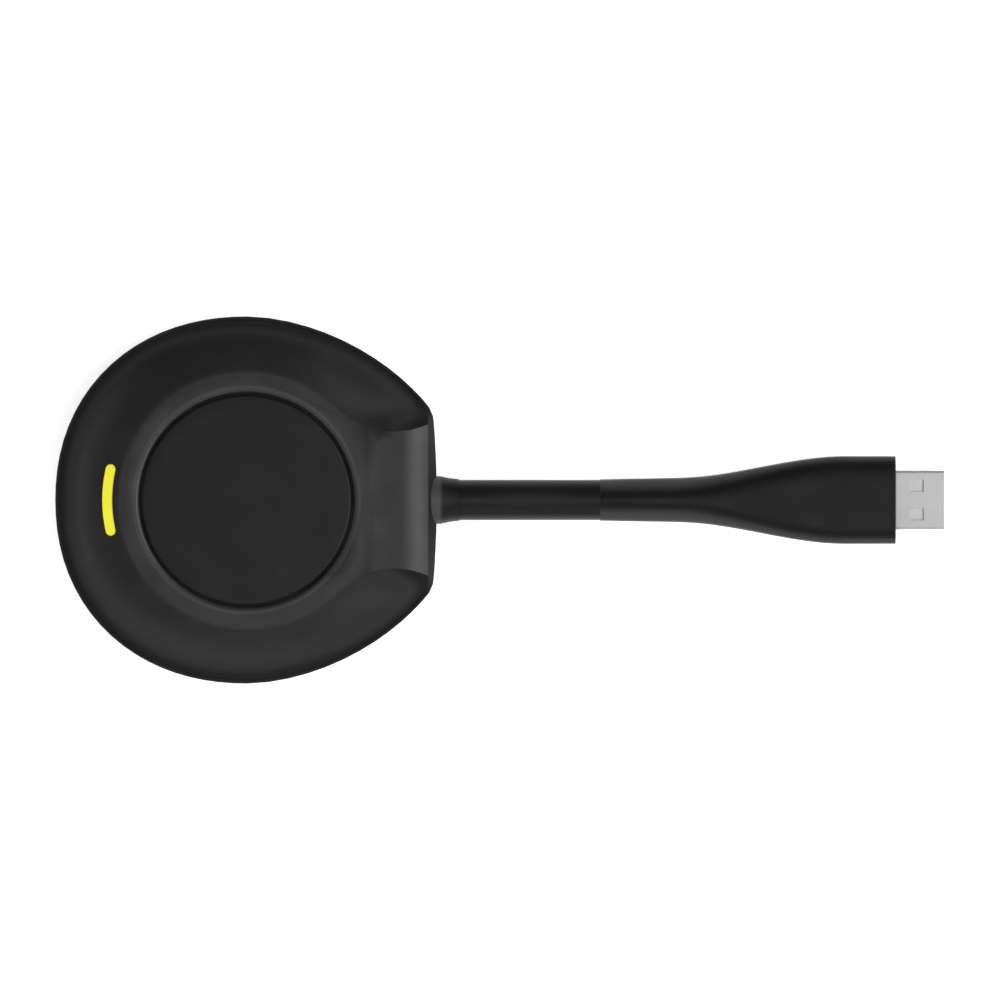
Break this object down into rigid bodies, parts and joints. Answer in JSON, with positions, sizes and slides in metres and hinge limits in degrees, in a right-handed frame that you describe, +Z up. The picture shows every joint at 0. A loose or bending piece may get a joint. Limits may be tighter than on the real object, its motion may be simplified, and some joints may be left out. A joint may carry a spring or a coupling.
{
  "type": "wireless presentation dongle",
  "caption": "Round tabletop puck with a large press button, a curved light bar and a short captive lead that ends in a flat moulded plug.",
  "frame": {"origin": "on the button's axis, at the plane the rubber foot rests on", "axes": "+Z up through the button, +X along the lead towards the plug, light bar on the -X side"},
  "size_m": [0.1811, 0.0748, 0.017],
  "materials": {
    "housing_lower": "matt black moulded plastic with a fine spark texture",
    "housing_upper": "satin black moulded plastic",
    "button_plastic": "satin charcoal moulded plastic, a little lighter than the housing",
    "inner_plastic": "matt grey moulded plastic",
    "pale_plastic": "off-white moulded plastic",
    "light_bar": "translucent diffuser, lit yellow",
    "foot_rubber": "matt black rubber",
    "gland_rubber": "satin black soft plastic",
    "lead_jacket": "satin black cable jacket",
    "boot_rubber": "satin black overmoulding",
    "screw_steel": "zinc-plated steel",
    "spring_steel": "drawn spring wire",
    "shell_steel": "bright nickel-plated sheet steel",
    "contact_gold": "thin gold plating",
    "spreader_aluminium": "mill-finish sheet",
    "shield_tin": "tinned steel sheet",
    "board_green": "solder-masked glass laminate",
    "chip_black": "moulded chip package",
    "pad_grey": "soft silicone gap filler",
    "wire_insulation": "extruded wire insulation"
  },
  "bodies": {
    "housing": {"bottom_cover": "housing_lower", "top_cover": "housing_upper", "base_foot": "foot_rubber", "housing_screws": "screw_steel", "button_frame": "inner_plastic", "frame_screws": "screw_steel", "return_springs": "spring_steel", "switch_case": "inner_plastic", "light_pipe": "light_bar", "light_shroud": "foot_rubber", "status_lamps": "pale_plastic", "main_board": "board_green", "board_screws": "screw_steel", "processor": "chip_black", "thermal_pad": "pad_grey", "heat_spreader": "spreader_aluminium", "radio_module": "shield_tin", "power_shield": "shield_tin", "memory_chips": "chip_black", "power_inductors": "chip_black", "antenna_left": "contact_gold", "antenna_right": "contact_gold", "board_header": "pale_plastic", "wire_plug": "pale_plastic", "lead_wires": "wire_insulation", "cable_gland": "gland_rubber", "lead": "lead_jacket", "plug_boot": "boot_rubber", "plug_mould": "pale_plastic", "plug_wires": "wire_insulation", "plug_shell": "shell_steel", "plug_tongue": "pale_plastic", "plug_contacts": "contact_gold"},
    "button": {"button_cap": "button_plastic", "stop_screws": "screw_steel"},
    "switch": {"switch_stem": "pale_plastic"}
  },
  "joints": [
    {"name": "button_press", "type": "slide", "parent": "housing", "child": "button", "axis": [0, 0, -1], "range_m": [0, 0.0006], "stiffness_N_per_m": 1200, "springref_m": -0.0008, "deforming": ["return_springs"]},
    {"name": "switch_press", "type": "slide", "parent": "housing", "child": "switch", "axis": [0, 0, -1], "range_m": [0, 0.0006]}
  ],
  "couplings": [
    {"joint": "switch_press", "follows": "button_press", "ratio": 1}
  ]
}
